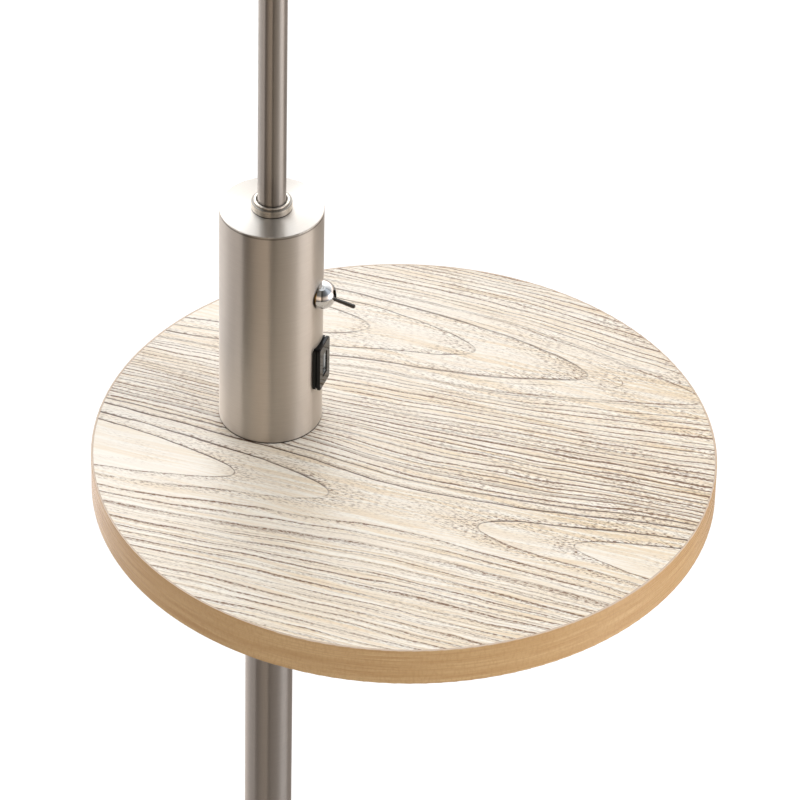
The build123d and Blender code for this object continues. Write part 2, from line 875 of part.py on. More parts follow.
pieces = {
    "base_pad": base_pad(),
    "base_weight": base_weight(),
    "base_cover": base_cover(),
    "mains_gland": mains_gland(),
    "base_hub": base_hub(),
    "base_pipe": pipe(base_nut_bottom - pipe_tail, base_top + pipe_engagement),
    "base_washer": pipe_washer(base_washer_bottom),
    "base_nut": hex_nut(pipe_nut_flats, pipe_thread, base_nut_bottom, pipe_nut_height),
    "lower_pole": pole(lower_pole_radius, lower_pole_wall, base_top, lower_pole_top),
    "lower_pole_foot_insert": pole_insert(*lower_pole_insert, base_top, lower_insert_length),
    "lower_pole_head_insert": pole_insert(
        *lower_pole_insert, lower_pole_top - lower_insert_length, lower_insert_length),
    "tray_flange": tray_flange(),
    "tray_screws": wood_screws(),
    "tray_board": tray_layer(under_sheet_top, tray_sheet_bottom),
    "tray_top_sheet": tray_layer(tray_sheet_bottom, tray_top_height),
    "tray_under_sheet": tray_layer(tray_bottom, under_sheet_top),
    "tray_edge_band": tray_edge_band(),
    "tray_pipe": pipe(
        lower_pole_top - pipe_engagement, tray_nut_bottom + pipe_nut_height + pipe_tail),
    "tray_washer": pipe_washer(cross_bar_top),
    "tray_nut": hex_nut(pipe_nut_flats, pipe_thread, tray_nut_bottom, pipe_nut_height),
    "housing_cross_bar": housing_cross_bar(),
    "housing_shell": housing_shell(),
    "neck_collar": neck_collar(),
    "neck_pipe": stud(neck_nut_bottom - stud_tail, upper_pole_bottom + stud_engagement),
    "neck_washer": sleeve(
        stud_washer_diameter / 2, stud_thread, neck_washer_bottom, housing_ceiling),
    "neck_nut": hex_nut(stud_nut_flats, stud_thread, neck_nut_bottom, stud_nut_height),
    "upper_pole": pole(upper_pole_radius, upper_pole_wall, upper_pole_bottom, upper_pole_top),
    "upper_pole_foot_insert": pole_insert(
        *upper_pole_insert, upper_pole_bottom, upper_insert_length),
    "upper_pole_head_insert": pole_insert(
        *upper_pole_insert, upper_pole_top - upper_insert_length, upper_insert_length),
    "switch_dome": switch_dome(),
    "switch_bushing": switch_bushing(),
    "switch_nut": switch_nut(),
    "switch_body": switch_body(),
    "switch_lugs": switch_lugs(),
    "switch_lever": switch_lever(),
    "port_bezel": port_bezel(),
    "port_shell": port_shell(),
    "port_tongue": port_tongue(),
    "port_contacts": port_contacts(),
    "port_board": port_board(),
    "converter_block": converter_block(),
    "port_lead": port_lead(),
    "lamp_lead": lamp_lead(),
    "socket_stud": stud(
        upper_pole_top - stud_engagement, upper_pole_top + socket_cup_wall + socket_hub_depth),
    "socket_cup": socket_cup(),
    "socket_body": socket_body(),
    "screw_shell": screw_shell(),
    "socket_contact": socket_contact(),
    "ring_nut": ring_nut(),
    "bulb_cap": bulb_cap(),
    "bulb_body": bulb_body(),
    "bulb_globe": bulb_globe(),
    "shade_drum": shade_drum(),
    "shade_top_ring": shade_top_ring(),
    "shade_spider": shade_spider(),
    "shade_top_hem": shade_top_hem(),
    "shade_bottom_hem": shade_bottom_hem(),
}

os.makedirs("parts", exist_ok=True)
for name, piece in pieces.items():
    export_step(piece, f"parts/{name}.step")
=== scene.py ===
import math

import bmesh
import bpy
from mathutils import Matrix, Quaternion, Vector


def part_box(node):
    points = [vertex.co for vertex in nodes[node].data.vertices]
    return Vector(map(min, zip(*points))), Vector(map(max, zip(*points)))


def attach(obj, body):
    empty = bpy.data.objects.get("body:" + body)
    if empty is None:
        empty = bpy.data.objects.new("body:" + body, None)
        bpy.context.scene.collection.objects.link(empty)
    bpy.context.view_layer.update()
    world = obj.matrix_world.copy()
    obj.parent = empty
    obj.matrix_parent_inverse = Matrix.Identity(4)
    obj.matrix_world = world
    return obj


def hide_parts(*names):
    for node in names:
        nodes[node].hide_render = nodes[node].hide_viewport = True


bl_info = {
    "name": "Shelf floor lamp",
    "version": (1, 0, 0),
    "blender": (4, 5, 0),
    "location": "3D View > Sidebar > Lamp",
    "description": "Finishes a floor lamp with a round tray, a toggle switch and a charging port",
    "category": "Object",
}

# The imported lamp, in metres, with its origin on the floor under the poles
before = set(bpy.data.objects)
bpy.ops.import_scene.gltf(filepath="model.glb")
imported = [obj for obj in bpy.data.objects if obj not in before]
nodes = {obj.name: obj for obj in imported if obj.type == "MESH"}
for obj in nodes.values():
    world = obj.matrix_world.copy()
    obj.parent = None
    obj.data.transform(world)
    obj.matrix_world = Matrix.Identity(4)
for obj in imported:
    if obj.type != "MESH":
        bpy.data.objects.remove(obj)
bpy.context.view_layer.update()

STAND = "stand"
MM = 0.001
TO_MM = 1000.0
# Most of a noise lies between these values
NOISE_LOW = 0.3
NOISE_HIGH = 0.7
# Steps round the shade
ROUND_STEPS = 288


# Small tools
def linear(hex_colour):
    """Linear red, green and blue of an sRGB hex colour."""
    channels = [int(hex_colour[place:place + 2], 16) / 255 for place in (1, 3, 5)]
    return tuple(c / 12.92 if c <= 0.04045 else ((c + 0.055) / 1.055) ** 2.4 for c in channels)


def put(tree, kind, inputs=(), output=0, **settings):
    """Add a node, set its properties, fill its inputs with values or links, and give one output."""
    # MapRange takes a value as 0, the ends of its range as 1 and 2, and what they become as 3 and 4;
    # ends that are left out are 0 and 1.
    # Mix takes its factor as 0, and two numbers as 2 and 3 or two colours as 6 and 7.
    made = tree.nodes.new("ShaderNode" + kind)
    for name, value in settings.items():
        setattr(made, name, value)
    pairs = inputs.items() if isinstance(inputs, dict) else enumerate(inputs)
    for key, value in pairs:
        socket = made.inputs[key]
        if isinstance(value, bpy.types.NodeSocket):
            tree.links.new(value, socket)
        elif socket.type == "RGBA":
            socket.default_value = (*value[:3], 1.0)
        else:
            socket.default_value = value
    return made.outputs[output]


def new_material(name, **sockets):
    """Material whose shader sockets take these values; a socket's spaces are written as underscores."""
    material = bpy.data.materials.new(name)
    material.use_nodes = True
    tree = material.node_tree
    shader = tree.nodes["Principled BSDF"]
    for socket, value in sockets.items():
        shader.inputs[socket.replace("_", " ")].default_value = value
    return material, tree, shader


def feed(tree, shader, **outputs):
    """Link outputs to the shader's sockets."""
    for socket, value in outputs.items():
        tree.links.new(value, shader.inputs[socket.replace("_", " ")])


def dress(material, *names):
    """Give CAD nodes a finish."""
    for name in names:
        slots = nodes[name].data.materials
        slots.clear()
        slots.append(material)


def place_in_mm(tree):
    """Place on the lamp in millimetres."""
    place = put(tree, "TexCoord", output="Object")
    return put(tree, "VectorMath", {0: place, "Scale": TO_MM}, operation="SCALE")


def round_axis(tree, centre=(0.0, 0.0)):
    """Angle, radius and height about an upright axis, in millimetres."""
    parts = put(tree, "SeparateXYZ", (place_in_mm(tree),)).node.outputs
    right = put(tree, "Math", (parts["X"], centre[0]), operation="SUBTRACT")
    back = put(tree, "Math", (parts["Y"], centre[1]), operation="SUBTRACT")
    angle = put(tree, "Math", (back, right), operation="ARCTAN2")
    flat = put(tree, "CombineXYZ", (right, back, 0.0))
    radius = put(tree, "VectorMath", (flat,), output="Value", operation="LENGTH")
    return angle, radius, parts["Z"]


def drawn_out(tree, along, across, size, detail):
    """Uneven tone drawn out to a length along a surface and a width across it."""
    place = put(tree, "CombineXYZ", (along, across, 0.0))
    place = put(tree, "VectorMath", (place, (*size, 1.0)), operation="DIVIDE")
    return put(tree, "TexNoise", {"Vector": place, "Scale": 1.0, "Detail": detail}, noise_dimensions="2D")


def colour_property(name, description, hex_colour):
    """Colour that a user may change."""
    return bpy.props.FloatVectorProperty(
        name=name, description=description, subtype="COLOR", size=3, min=0.0, max=1.0,
        default=linear(hex_colour))


def length_property(name, description, millimetres):
    """Length that a user may change."""
    return bpy.props.FloatProperty(
        name=name, description=description, unit="LENGTH", min=0.0, default=millimetres * MM)


def angle_property(name, description, degrees):
    """Angle that a user may change."""
    return bpy.props.FloatProperty(
        name=name, description=description, subtype="ANGLE", default=math.radians(degrees))


# What a user may change
class LampFinish(bpy.types.PropertyGroup):
    """Colours of the lamp's finishes."""

    nickel: colour_property("Nickel", "Brushed nickel plate", "#C8C2BA")
    collar: colour_property("Collar", "Paler nickel plate of the collar", "#D9D2C7")
    tube: colour_property("Nickel tube", "Satin nickel plate of the poles", "#B0ABA5")
    chrome: colour_property("Chrome", "Polished plate of the switch", "#DADCDF")
    black_chrome: colour_property("Black chrome", "Dark plate of the switch's lever", "#575553")
    ash_cream: colour_property("Ash, pale", "Pale wood of the laminate", "#F3EBDF")
    ash_tan: colour_property("Ash, tan", "Darker streaks of the laminate", "#E3C89B")
    ash_white: colour_property("Ash, white", "Whitewash in the laminate", "#F7F1E6")
    ash_line: colour_property("Ash line", "Fine lines and pores of the laminate", "#704B26")
    ash_grain: colour_property("Ash grain", "Bold growth lines of the laminate", "#4C2F14")
    band: colour_property("Edge band", "Pale wood of the tray's edge", "#DAB482")
    band_streak: colour_property("Edge band streak", "Darker streaks of the tray's edge", "#B98A56")
    linen: colour_property("Linen", "Cloth of the shade", "#EFE9DC")
    linen_thread: colour_property("Linen thread", "Darker threads of the shade", "#CFC5B2")
    black: colour_property("Black plastic", "Gloss plastic round the charging port", "#080809")


class LampGrain(bpy.types.PropertyGroup):
    """Sizes of the printed wood on the tray."""

    turn: angle_property("Direction", "Turn of the grain from the tray's length", 1.0)
    ring: length_property("Ring spacing", "Usual distance between bold growth lines", 4.3)
    fine: length_property("Fine spacing", "Usual distance between fine growth lines", 2.3)
    bold_width: length_property("Bold line", "Width of a bold growth line", 0.8)
    fine_width: length_property("Fine line", "Width of a fine growth line", 0.66)
    fleck: length_property("Fleck length", "Length of the pores between the lines", 2.6)


class LampShade(bpy.types.PropertyGroup):
    """Sizes of the cloth shade."""

    sheet: length_property("Sheet", "Thickness of the laminated linen", 1.0)
    lap: length_property("Lap", "Width of the seam where the sheet overlaps itself", 12.0)
    thread: length_property("Thread spacing", "Distance between threads of the linen", 0.9)
    hem: length_property("Hem", "Height of the tape folded over each end", 9.0)


class LampStage(bpy.types.PropertyGroup):
    """Camera and light."""

    aim: bpy.props.FloatVectorProperty(
        name="Aim", description="Point in the middle of the picture", subtype="XYZ", unit="LENGTH",
        default=(0.05649, 0.03122, 0.600))
    azimuth: angle_property("Azimuth", "Camera's turn about the lamp", 18.239)
    elevation: angle_property("Elevation", "Camera's height above the horizon", 37.679)
    roll: angle_property("Roll", "Camera's turn about its own line of sight", 1.312)
    distance: length_property("Distance", "From the camera to its aim", 2979.4)
    lens: bpy.props.FloatProperty(
        name="Lens", description="Focal length on a 36 mm sensor", unit="CAMERA", default=272.2)
    ambient: bpy.props.FloatProperty(
        name="Ambient", description="Soft light from all round", default=0.655, min=0.0)


# Metals
def brushed_nickel(name, plate, smooth, coarse, painted_shade_lines=()):
    """Nickel plate on steel, brushed round the axis; each painted shade line has a height, a width and a
    lightness.
    """
    # Streaks run round each piece, so what it mirrors is drawn out up and down the piece.
    streak_length = 14.0
    # Real brushing is about 0.1 mm; it is drawn coarser so that it shows.
    streak_spacing = 0.42
    streak_depth = 0.03
    # Share of a painted shade line's width that is darkest
    shade_line_core = 0.4
    material, tree, shader = new_material(name, Metallic=1.0, Anisotropic=1.0, Anisotropic_Rotation=0.25)
    parts = put(tree, "SeparateXYZ", (place_in_mm(tree),)).node.outputs
    radius = round_axis(tree)[1]
    level = put(tree, "Math", (radius, parts["Z"]), operation="ADD")
    drawn = put(tree, "CombineXYZ", (parts["X"], parts["Y"], level))
    drawn = put(tree, "VectorMath", (drawn, (streak_length, streak_length, streak_spacing)),
                operation="DIVIDE")
    streak = put(tree, "TexNoise", {"Vector": drawn, "Scale": 1.0, "Detail": 3.0, "Roughness": 0.65})
    shade = put(tree, "MapRange", {0: streak, 1: NOISE_LOW, 2: NOISE_HIGH, 3: 0.95, 4: 1.03})
    # Painted shade: a dark line at each given height, standing in for the shadow along an edge or where a
    # piece meets the next
    for height, width, lightness in painted_shade_lines:
        off = put(tree, "Math", (parts["Z"], height), operation="SUBTRACT")
        off = put(tree, "Math", (off,), operation="ABSOLUTE")
        edge = put(tree, "MapRange", {0: off, 1: width * shade_line_core, 2: width, 3: lightness})
        shade = put(tree, "Math", (shade, edge), operation="MULTIPLY")
    colour = put(tree, "Mix", {0: 1.0, 6: plate, 7: shade}, output=2, data_type="RGBA",
                 blend_type="MULTIPLY")
    rough = put(tree, "MapRange", {0: streak, 1: NOISE_LOW, 2: NOISE_HIGH, 3: smooth, 4: coarse})
    bump = put(tree, "Bump", {"Strength": 0.5, "Distance": streak_depth * MM, "Height": streak})
    tangent = put(tree, "Tangent", direction_type="RADIAL", axis="Z")
    feed(tree, shader, Base_Color=colour, Roughness=rough, Normal=bump, Tangent=tangent)
    return material


def polished_chrome(name, plate):
    """Chromium plate over polished nickel."""
    # Mirror finish with a faint haze of handling.
    haze_size = 2.5
    material, tree, shader = new_material(name, Metallic=1.0, Base_Color=(*plate, 1.0))
    haze = put(tree, "TexNoise", {"Vector": place_in_mm(tree), "Scale": 1 / haze_size, "Detail": 2.0})
    rough = put(tree, "MapRange", {0: haze, 1: 0.35, 2: 0.7, 3: 0.03, 4: 0.09})
    feed(tree, shader, Roughness=rough)
    return material


def plain_metal(name, hex_colour, roughness, grain_size):
    """Metal with a fine even grain from its plating, casting or drawing."""
    material, tree, shader = new_material(name, Metallic=1.0)
    grain = put(tree, "TexNoise", {"Vector": place_in_mm(tree), "Scale": 1 / grain_size, "Detail": 4.0})
    rough = put(tree, "MapRange", {0: grain, 1: NOISE_LOW, 2: NOISE_HIGH,
                                   3: roughness * 0.8, 4: roughness * 1.2})
    shade = put(tree, "MapRange", {0: grain, 1: NOISE_LOW, 2: NOISE_HIGH, 3: 0.88, 4: 1.05})
    colour = put(tree, "Mix", {0: 1.0, 6: linear(hex_colour), 7: shade}, output=2, data_type="RGBA",
                 blend_type="MULTIPLY")
    feed(tree, shader, Base_Color=colour, Roughness=rough)
    return material


# Plastics, rubber and paint
def moulded(name, colour, roughness, grain_size, grain_depth, **sockets):
    """Moulded, extruded or sprayed surface with a fine grain."""
    material, tree, shader = new_material(name, **sockets)
    grain = put(tree, "TexNoise", {"Vector": place_in_mm(tree), "Scale": 1 / grain_size, "Detail": 3.0})
    light = tuple(min(1.0, channel * 1.06) for channel in colour)
    dark = tuple(channel * 0.92 for channel in colour)
    shade = put(tree, "Mix", {0: grain, 6: dark, 7: light}, output=2, data_type="RGBA")
    rough = put(tree, "MapRange", {0: grain, 1: NOISE_LOW, 2: NOISE_HIGH,
                                   3: roughness * 0.85, 4: roughness * 1.15})
    bump = put(tree, "Bump", {"Strength": 0.4, "Distance": grain_depth * MM, "Height": grain})
    feed(tree, shader, Base_Color=shade, Roughness=rough, Normal=bump)
    return material


# Wood
def growth_field(tree, along, across, heart_along, heart_across, heart_depth, taper, dip):
    """Distance from a heart that slopes down under the board to a dip, and how steeply it rises."""
    side = put(tree, "Math", (across, heart_across), operation="SUBTRACT")
    ahead = put(tree, "Math", (along, heart_along), operation="SUBTRACT")
    beyond = put(tree, "Math", (2 * dip, ahead), operation="SUBTRACT")
    ahead = put(tree, "Math", (ahead, beyond, dip), operation="SMOOTH_MIN")
    depth = put(tree, "Math", (ahead, taper, heart_depth), operation="MULTIPLY_ADD")
    flat = put(tree, "CombineXYZ", (side, depth, 0.0))
    distance = put(tree, "VectorMath", (flat,), output="Value", operation="LENGTH")
    lean = put(tree, "Math", (depth, taper), operation="MULTIPLY")
    rise = put(tree, "CombineXYZ", (side, lean, 0.0))
    rise = put(tree, "VectorMath", (rise,), output="Value", operation="LENGTH")
    return distance, put(tree, "Math", (rise, distance), operation="DIVIDE")


def growth_lines(tree, field, steepness, spacing, wander, front_width, back_width):
    """Lines where the growth field passes each ring: darkness, number, and the share past them."""
    # Twice full strength in the middle keeps a line dark over half its width
    peak = 2.0
    drift = put(tree, "TexNoise", {"W": field, "Scale": 1 / (spacing * 2), "Detail": 0.0},
                noise_dimensions="1D")
    drift = put(tree, "Math", (drift, wander, -wander / 2), operation="MULTIPLY_ADD")
    count = put(tree, "Math", (field, spacing), operation="DIVIDE")
    count = put(tree, "Math", (count, drift), operation="ADD")
    number = put(tree, "Math", (count,), operation="FLOOR")
    past = put(tree, "Math", (count,), operation="FRACT")
    scale = put(tree, "Math", (spacing, steepness), operation="DIVIDE")
    past_mm = put(tree, "Math", (past, scale), operation="MULTIPLY")
    left = put(tree, "Math", (1.0, past), operation="SUBTRACT")
    left_mm = put(tree, "Math", (left, scale), operation="MULTIPLY")
    behind = put(tree, "MapRange", {0: past_mm, 2: back_width, 3: peak, 4: 0.0})
    ahead = put(tree, "MapRange", {0: left_mm, 2: front_width, 3: peak, 4: 0.0})
    line = put(tree, "Math", (behind, ahead), operation="MAXIMUM")
    return line, number, past


def ash_laminate(finish, grain):
    """Melamine sheet printed with limed ash."""
    # Pale cream wood with whitewash, thin grey-brown growth lines that arch where the saw
    # passed the heart, short pores between them, and a satin face.
    ring = grain.ring * TO_MM
    bold_width = grain.bold_width * TO_MM
    # Each pattern's length along the grain and width across it, in mm
    grit_size = (2.0, 0.8)
    bold_fade_size = (60.0, 3.0)
    fine_fade_size = (36.0, 3.0)
    hair_size = (24.0, 0.8)
    pore_size = (grain.fleck * TO_MM, 0.55)
    patch_size = (34.0, 12.0)
    tan_size = (120.0, 5.0)
    wash_size = (50.0, 1.8)
    # Sizes of long bends and of small waves, how far they carry the grain aside, and their detail
    sways = (((130.0, 55.0), 10.0, 1.0), ((26.0, 8.0), 2.0, 2.0))
    # Two hearts: their places along and across the board, how far along they dip, and their depth
    front_heart, front_dip = (-0.9, -51.0), 86.0
    back_heart, back_dip = (24.0, 79.0), 300.0
    heart_depth = 33.0
    taper = 0.075
    # The rings between the hearts come to an even number, so that their lines meet
    middle = (front_heart[1] + back_heart[1]) / 2
    meeting = 26.0
    half_way = (back_heart[1] - front_heart[1]) / 2
    whole = 2 * (math.hypot(half_way, heart_depth) - heart_depth)
    whole = 2 * ring * round(whole / (2 * ring))
    # A field that is flatter than this would draw its lines too wide
    least_rise = 0.1
    press_depth = 0.05
    material, tree, shader = new_material("melamine_printed_ash", Specular_IOR_Level=0.45, IOR=1.5)
    place = put(tree, "Mapping", {"Vector": place_in_mm(tree), "Rotation": (0.0, 0.0, -grain.turn)})
    parts = put(tree, "SeparateXYZ", (place,)).node.outputs
    along, across = parts["X"], parts["Y"]

    def cloud(size, side, detail):
        """Uneven tone drawn out along the grain."""
        return drawn_out(tree, along, side, size, detail)

    # The grain wanders, in long bends and in small waves
    side = across
    for size, swing, detail in sways:
        sway = put(tree, "Math", (cloud(size, across, detail), swing, -swing / 2), operation="MULTIPLY_ADD")
        side = put(tree, "Math", (side, sway), operation="ADD")

    # Two hearts' growth fields meet half way between them
    front, front_rise = growth_field(tree, along, side, *front_heart, heart_depth, taper, front_dip)
    back, back_rise = growth_field(tree, along, side, *back_heart, heart_depth, taper, back_dip)
    share = put(tree, "MapRange", {0: side, 1: middle - meeting, 2: middle + meeting},
                interpolation_type="SMOOTHSTEP")
    front_part = put(tree, "Math", (front, heart_depth), operation="SUBTRACT")
    back_part = put(tree, "Math", (back, heart_depth), operation="SUBTRACT")
    back_field = put(tree, "Math", (whole, back_part), operation="SUBTRACT")
    field = put(tree, "Mix", {0: share, 2: front_part, 3: back_field})
    rise = put(tree, "Mix", {0: share, 2: front_rise, 3: back_rise})
    rise = put(tree, "Math", (rise, least_rise), operation="MAXIMUM")
    nearest = put(tree, "Math", (front_part, back_part), operation="MINIMUM")
    straight = put(tree, "MapRange", {0: nearest, 1: 4.0, 2: 18.0}, interpolation_type="SMOOTHSTEP")
    outside = put(tree, "MapRange", {0: nearest, 1: -0.7, 2: -0.1})
    in_front = put(tree, "MapRange", {0: side, 1: front_heart[1] - 5.0, 2: front_heart[1] + 2.0,
                                      3: 1.0, 4: 0.0})
    # There the fine lines, pores and hairs are fewer, and the wood is lighter
    sparse, quiet, clear, lighter = (
        put(tree, "MapRange", {0: in_front, 3: 1.0, 4: least}) for least in (0.25, 0.4, 0.35, 0.85))

    # Bold lines, crisp behind the front heart and porous in front of it, each with its own strength
    grit = cloud(grit_size, side, 2.0)
    width = put(tree, "MapRange", {0: in_front, 3: bold_width, 4: 1.35 * bold_width})
    bold, number, past = growth_lines(tree, field, rise, ring, wander=0.9, front_width=0.45,
                                      back_width=width)
    own = put(tree, "TexWhiteNoise", {"W": number}, output="Value", noise_dimensions="1D")
    picked = put(tree, "MapRange", {0: own, 1: 0.25, 2: 0.75, 3: 0.5, 4: 1.1})
    own = put(tree, "MapRange", {0: own, 3: 0.7})
    own = put(tree, "Mix", {0: in_front, 2: own, 3: picked})
    along_line = cloud(bold_fade_size, field, 2.0)
    fade = put(tree, "MapRange", {0: along_line, 1: 0.3, 2: 0.56, 3: 0.55})
    ragged = put(tree, "MapRange", {0: along_line, 1: 0.36, 2: 0.6, 3: 0.2, 4: 1.1})
    fade = put(tree, "Mix", {0: in_front, 2: fade, 3: ragged})
    close = put(tree, "MapRange", {0: nearest, 1: 9.0, 2: 16.0, 3: 1.0, 4: 0.25})
    front_reach = put(tree, "Math", (in_front, 0.72), operation="MULTIPLY")
    reach = put(tree, "Math", (close, front_reach), operation="MAXIMUM")
    away = put(tree, "MapRange", {0: share, 3: 1.0, 4: 0.55})
    faint = put(tree, "MapRange", {0: along, 1: 70.0, 2: 130.0, 3: 1.0, 4: 0.95})
    tip = put(tree, "MapRange", {0: rise, 1: least_rise, 2: 0.22, 3: 0.45})
    porous = put(tree, "MapRange", {0: grit, 1: 0.4, 2: 0.6, 3: 0.4, 4: 1.1})
    porous = put(tree, "Mix", {0: in_front, 2: 1.0, 3: porous})
    bold_factors = (own, fade, reach, away, faint, tip, porous, outside)

    # Fine broken lines where the grain runs straight
    thin, thin_number, _ = growth_lines(tree, field, rise, grain.fine * TO_MM, wander=0.8, front_width=0.3,
                                        back_width=grain.fine_width * TO_MM)
    thin_own = put(tree, "TexWhiteNoise", {"W": thin_number}, output="Value", noise_dimensions="1D")
    thin_own = put(tree, "MapRange", {0: thin_own, 3: 0.3, 4: 1.3})
    thin_fade = put(tree, "MapRange", {0: cloud(fine_fade_size, field, 2.0), 1: 0.34, 2: 0.56, 3: 0.45})
    broken = put(tree, "MapRange", {0: grit, 1: 0.36, 2: 0.54, 3: 0.35})
    denser = put(tree, "MapRange", {0: along, 1: 80.0, 2: 200.0, 3: 1.0, 4: 1.8})
    thin_factors = (thin_own, thin_fade, broken, straight, sparse, denser)

    # Hair streaks everywhere, and short pores that crowd in patches and just past a bold line
    hair = put(tree, "MapRange", {0: cloud(hair_size, side, 3.0), 1: 0.46, 2: 0.7})
    pore = put(tree, "MapRange", {0: cloud(pore_size, side, 3.0), 1: 0.5, 2: 0.63})
    patch = put(tree, "MapRange", {0: cloud(patch_size, side, 1.0), 1: 0.42, 2: 0.64, 3: 0.35})
    patch = put(tree, "Math", (patch, quiet), operation="MULTIPLY")
    crowd = put(tree, "MapRange", {0: past, 2: 0.6, 3: 1.8, 4: 0.0})
    crowd = put(tree, "Math", (crowd, reach), operation="MULTIPLY")
    crowd = put(tree, "Math", (crowd, patch), operation="MAXIMUM")
    inner = put(tree, "MapRange", {0: outside, 3: 0.25})

    # Colour: faint tan bands in cream, narrow whitewash, then the lines
    tone = put(tree, "MapRange", {0: cloud(tan_size, side, 2.0), 1: 0.42, 2: 0.66, 4: 0.36})
    forward = put(tree, "Math", (across, -0.6, along), operation="MULTIPLY_ADD")
    warmer = put(tree, "MapRange", {0: forward, 1: -60.0, 2: 230.0, 4: 0.42})
    tone = put(tree, "Math", (tone, warmer), operation="ADD")
    tone = put(tree, "Math", (tone, lighter), operation="MULTIPLY")
    wash = put(tree, "MapRange", {0: cloud(wash_size, side, 3.0), 1: 0.46, 2: 0.62, 4: 0.8})
    bold_ink = put(tree, "Mix", {0: in_front, 6: finish.ash_grain, 7: finish.ash_line}, output=2,
                   data_type="RGBA")
    layers = [(tone, finish.ash_tan), (wash, finish.ash_white)]
    pressed = 0.0
    # Marks, what weakens them, their strength and ink, and whether they are pressed into the face
    for marks, factors, strength, ink, is_pressed in (
            (hair, (inner, clear), 0.07, finish.ash_line, False),
            (pore, (crowd, inner, denser), 0.5, finish.ash_line, True),
            (thin, thin_factors, 1.15, finish.ash_line, False),
            (bold, bold_factors, 1.1, bold_ink, True)):
        for factor in factors:
            marks = put(tree, "Math", (marks, factor), operation="MULTIPLY")
        if is_pressed:
            pressed = put(tree, "Math", (marks, pressed), operation="MAXIMUM")
        amount = put(tree, "Math", (marks, strength), operation="MULTIPLY", use_clamp=True)
        layers.append((amount, ink))
    colour = finish.ash_cream
    for amount, ink in layers:
        colour = put(tree, "Mix", {0: amount, 6: colour, 7: ink}, output=2, data_type="RGBA")

    # Satin face, pressed a little deeper along the pores and bold lines
    rough = put(tree, "MapRange", {0: pressed, 3: 0.38, 4: 0.5})
    height = put(tree, "Math", (1.0, pressed), operation="SUBTRACT")
    bump = put(tree, "Bump", {"Strength": 0.25, "Distance": press_depth * MM, "Height": height})
    feed(tree, shader, Base_Color=colour, Roughness=rough, Normal=bump)
    return material


def edge_band(finish):
    """Plastic edge band printed with plain beech."""
    # Tan with fine streaks along its length, satin, with one butt joint.
    low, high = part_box("tray_edge_band")
    centre = (low + high) / 2 * TO_MM
    band_radius = (high.y - low.y) / 2 * TO_MM
    # Each pattern's length along the band and width across it, in mm
    broad_size = (90.0, 3.6)
    narrow_size = (46.0, 0.7)
    tick_size = (1.2, 3.0)
    streak_depth = 0.04
    joint_angle = math.radians(170.0)
    joint_width = 0.35
    # The glue's line lies between these distances from the band's outside, in mm
    glue_inner, glue_outer = 1.0, 0.2
    material, tree, shader = new_material("abs_band_printed_beech", Specular_IOR_Level=0.5, IOR=1.5)
    angle, radius, level = round_axis(tree, centre)
    run = put(tree, "Math", (angle, band_radius), operation="MULTIPLY")
    broad = put(tree, "MapRange", {0: drawn_out(tree, run, level, broad_size, 2.0), 1: 0.38, 2: 0.64})
    narrow = put(tree, "MapRange", {0: drawn_out(tree, run, level, narrow_size, 3.0), 1: 0.4, 2: 0.64})
    ticks = put(tree, "MapRange", {0: drawn_out(tree, run, level, tick_size, 2.0), 1: 0.46, 2: 0.66})
    off_joint = put(tree, "Math", (angle, joint_angle), operation="SUBTRACT")
    off_joint = put(tree, "Math", (off_joint,), operation="ABSOLUTE")
    off_joint = put(tree, "Math", (off_joint, band_radius), operation="MULTIPLY")
    joint = put(tree, "MapRange", {0: off_joint, 2: joint_width, 3: 1.0, 4: 0.0})
    # A darker line just under the band's top edge
    below_top = put(tree, "Math", (high.z * TO_MM, level), operation="SUBTRACT")
    line_under_top = put(tree, "MapRange", {0: below_top, 1: 0.15, 2: 0.6, 3: 1.0, 4: 0.0})
    layers = []
    for marks, strength in ((broad, 0.3), (narrow, 0.62), (ticks, 0.26), (joint, 0.3), (line_under_top, 0.55)):
        amount = put(tree, "Math", (marks, strength), operation="MULTIPLY")
        layers.append((amount, finish.band_streak))
    # Its trimmed top edge is paler, and shows a faint line of glue against the laminate
    upward = put(tree, "SeparateXYZ", (put(tree, "NewGeometry", output="Normal"),), output="Z")
    upward = put(tree, "MapRange", {0: upward, 1: 0.5, 2: 0.95})
    paler = put(tree, "Math", (upward, 0.5), operation="MULTIPLY")
    glue = put(tree, "MapRange", {0: radius, 1: band_radius - glue_inner, 2: band_radius - glue_outer,
                                  3: 0.3, 4: 0.1})
    glue = put(tree, "Math", (glue, upward), operation="MULTIPLY")
    layers += [(paler, finish.ash_cream), (glue, finish.ash_line)]
    colour = finish.band
    for amount, ink in layers:
        colour = put(tree, "Mix", {0: amount, 6: colour, 7: ink}, output=2, data_type="RGBA")
    rough = put(tree, "MapRange", {0: narrow, 3: 0.22, 4: 0.32})
    bump = put(tree, "Bump", {"Strength": 0.2, "Distance": streak_depth * MM, "Height": narrow})
    feed(tree, shader, Base_Color=colour, Roughness=rough, Normal=bump)
    return material


def fibre_board():
    """Pressed fibre board, cut edges and all."""
    # Brown fibres of a millimetre or so, dull.
    fibre_length = 1.11
    dark, light = linear("#8C6A48"), linear("#C9A77C")
    material, tree, shader = new_material("fibre_board_pressed", Roughness=0.9)
    fibres = put(tree, "TexNoise", {"Vector": place_in_mm(tree), "Scale": 1 / fibre_length, "Detail": 5.0})
    colour = put(tree, "Mix", {0: fibres, 6: dark, 7: light}, output=2, data_type="RGBA")
    feed(tree, shader, Base_Color=colour)
    return material


